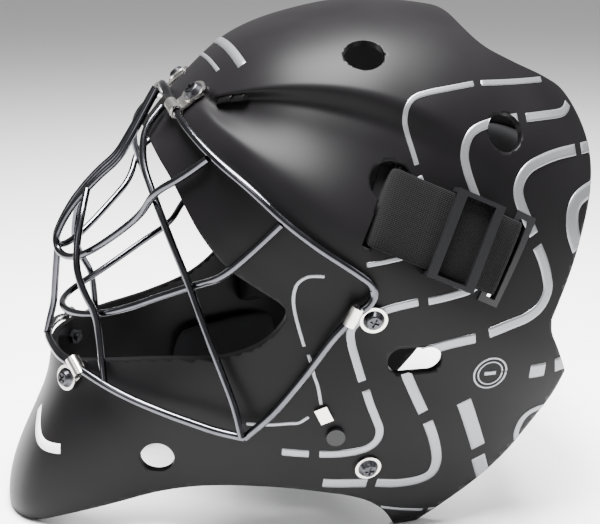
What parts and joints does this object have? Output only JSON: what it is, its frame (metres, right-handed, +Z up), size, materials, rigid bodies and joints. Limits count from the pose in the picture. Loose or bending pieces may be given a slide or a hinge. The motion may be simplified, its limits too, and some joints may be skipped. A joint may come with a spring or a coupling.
{
  "type": "goalkeeper mask",
  "caption": "Goalkeeper's helmet mask: moulded shell with a welded wire face cage, foam pads and a sliding rear cup on elastic side straps.",
  "frame": {"origin": "on the surface the mask stands on, under the middle of its overall box", "axes": "+Z up, the face looks along -Y, the wearer's left is +X"},
  "size_m": [0.2528, 0.3264, 0.2901],
  "materials": {
    "shell_paint": "satin",
    "black_chrome_wire": "polished black chrome",
    "eva_foam": "matte",
    "nickel_plate": "bright",
    "black_screw": "satin",
    "webbing": "woven",
    "black_plastic": "satin",
    "cup_plastic": "satin",
    "grey_trim": "satin"
  },
  "bodies": {
    "mask_frame": {"cage_brow_bar_left": "black_chrome_wire", "cage_brow_bar_right": "black_chrome_wire", "cage_centre_bar": "black_chrome_wire", "cage_cross_bar": "black_chrome_wire", "cage_eye_bar_left": "black_chrome_wire", "cage_eye_bar_right": "black_chrome_wire", "cage_lower_rim": "black_chrome_wire", "cage_mouth_bar_left": "black_chrome_wire", "cage_mouth_bar_right": "black_chrome_wire", "cage_nuts": "black_screw", "cage_screws": "black_screw", "cage_side_bar_left": "black_chrome_wire", "cage_side_bar_right": "black_chrome_wire", "cage_upper_rim": "black_chrome_wire", "cage_washers": "nickel_plate", "cheek_pad_left": "eva_foam", "cheek_pad_right": "eva_foam", "chin_clip_left": "nickel_plate", "chin_clip_right": "nickel_plate", "chin_pad": "eva_foam", "crown_pad": "eva_foam", "forehead_clip_left": "nickel_plate", "forehead_clip_right": "nickel_plate", "forehead_pad": "eva_foam", "jaw_nuts": "black_screw", "jaw_pad_left": "eva_foam", "jaw_pad_right": "eva_foam", "jaw_screws": "black_screw", "jaw_washers": "nickel_plate", "shell": "shell_paint", "side_clip_left": "nickel_plate", "side_clip_right": "nickel_plate", "side_strap_left": "webbing", "side_strap_right": "webbing", "slot_trim_left": "grey_trim", "slot_trim_right": "grey_trim", "strap_stop_left": "black_plastic", "strap_stop_right": "black_plastic", "temple_pad_left": "eva_foam", "temple_pad_right": "eva_foam", "throat_buttons": "black_plastic", "throat_hook_left": "nickel_plate", "throat_hook_right": "nickel_plate"},
    "strap_tails": {"cup_rivets": "nickel_plate", "strap_tail_left": "webbing", "strap_tail_right": "webbing"},
    "rear_cup": {"rear_cup": "cup_plastic", "rear_cup_pad": "eva_foam"},
    "buckle_left": {"strap_buckle_left": "black_plastic"},
    "buckle_right": {"strap_buckle_right": "black_plastic"}
  },
  "joints": [
    {"name": "strap_stretch", "type": "slide", "parent": "mask_frame", "child": "strap_tails", "axis": [0, 1, 0], "range_m": [0, 0.016], "stiffness_N_per_m": 400},
    {"name": "cup_tilt", "type": "hinge", "parent": "strap_tails", "child": "rear_cup", "pos_m": [0, 0.13524, 0.166], "axis": [1, 0, 0], "range_deg": [-4, 6]},
    {"name": "buckle_left_slide", "type": "slide", "parent": "mask_frame", "child": "buckle_left", "axis": [-0.0161, 0.9092, -0.416], "range_m": [-0.005, 0.006]},
    {"name": "buckle_right_slide", "type": "slide", "parent": "mask_frame", "child": "buckle_right", "axis": [0.0161, 0.9092, -0.416], "range_m": [-0.005, 0.006]}
  ]
}
